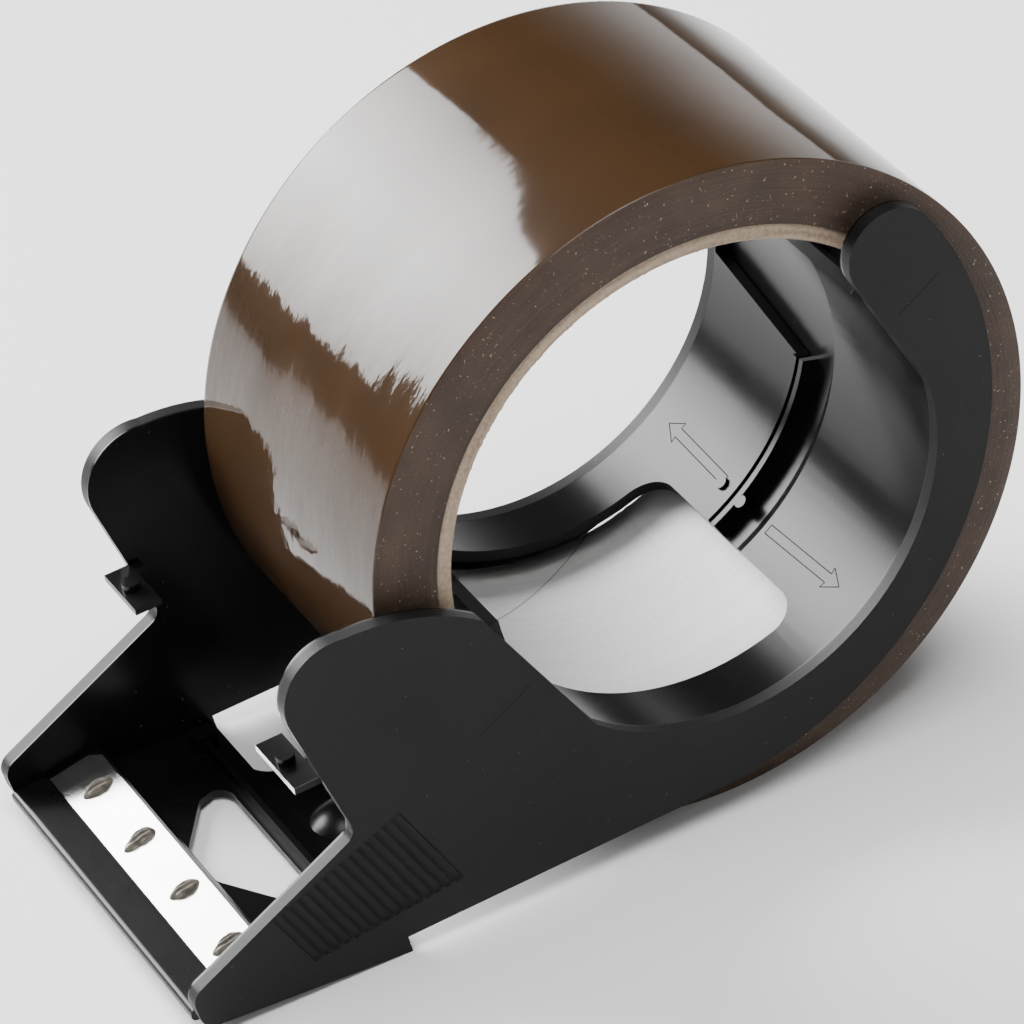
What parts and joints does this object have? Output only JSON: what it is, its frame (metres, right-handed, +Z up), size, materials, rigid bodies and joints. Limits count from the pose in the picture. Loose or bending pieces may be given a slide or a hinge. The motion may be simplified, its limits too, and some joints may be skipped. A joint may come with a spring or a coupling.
{
  "type": "tape dispenser",
  "caption": "Hand-held dispenser for packing tape: two plastic halves with a hub wall carry the roll, and a steel blade sits on the nose between them.",
  "frame": {"origin": "on the ground under the middle of the object's bounding box", "axes": "+X runs from the cutting nose back to the roll, +Y along the tape's axis to the right half, +Z up"},
  "size_m": [0.1346, 0.0612, 0.0996],
  "materials": {
    "left_half": "fine-grained satin black",
    "right_half": "fine-grained satin black",
    "nose_carrier": "satin black",
    "cutting_blade": "bright rolled",
    "blade_stakes": "melted, satin",
    "tape_core": "matt paperboard",
    "tape_winding": "glossy brown film"
  },
  "bodies": {
    "nose": {"nose_carrier": "nose_carrier", "cutting_blade": "cutting_blade", "blade_stakes": "blade_stakes"},
    "left": {"left_half": "left_half"},
    "right": {"right_half": "right_half"},
    "roll": {"tape_core": "tape_core", "tape_winding": "tape_winding"}
  },
  "joints": [
    {"name": "roll_spin", "type": "hinge", "parent": "nose", "child": "roll", "pos_m": [0.01748, 0, 0.0498], "axis": [0, 1, 0], "continuous": true},
    {"name": "left_spread", "type": "slide", "parent": "nose", "child": "left", "axis": [0, -1, 0], "range_m": [0, 0.008], "stiffness_N_per_m": 1200, "springref_m": -0.001},
    {"name": "right_spread", "type": "slide", "parent": "nose", "child": "right", "axis": [0, 1, 0], "range_m": [0, 0.008], "stiffness_N_per_m": 1200, "springref_m": -0.001}
  ]
}
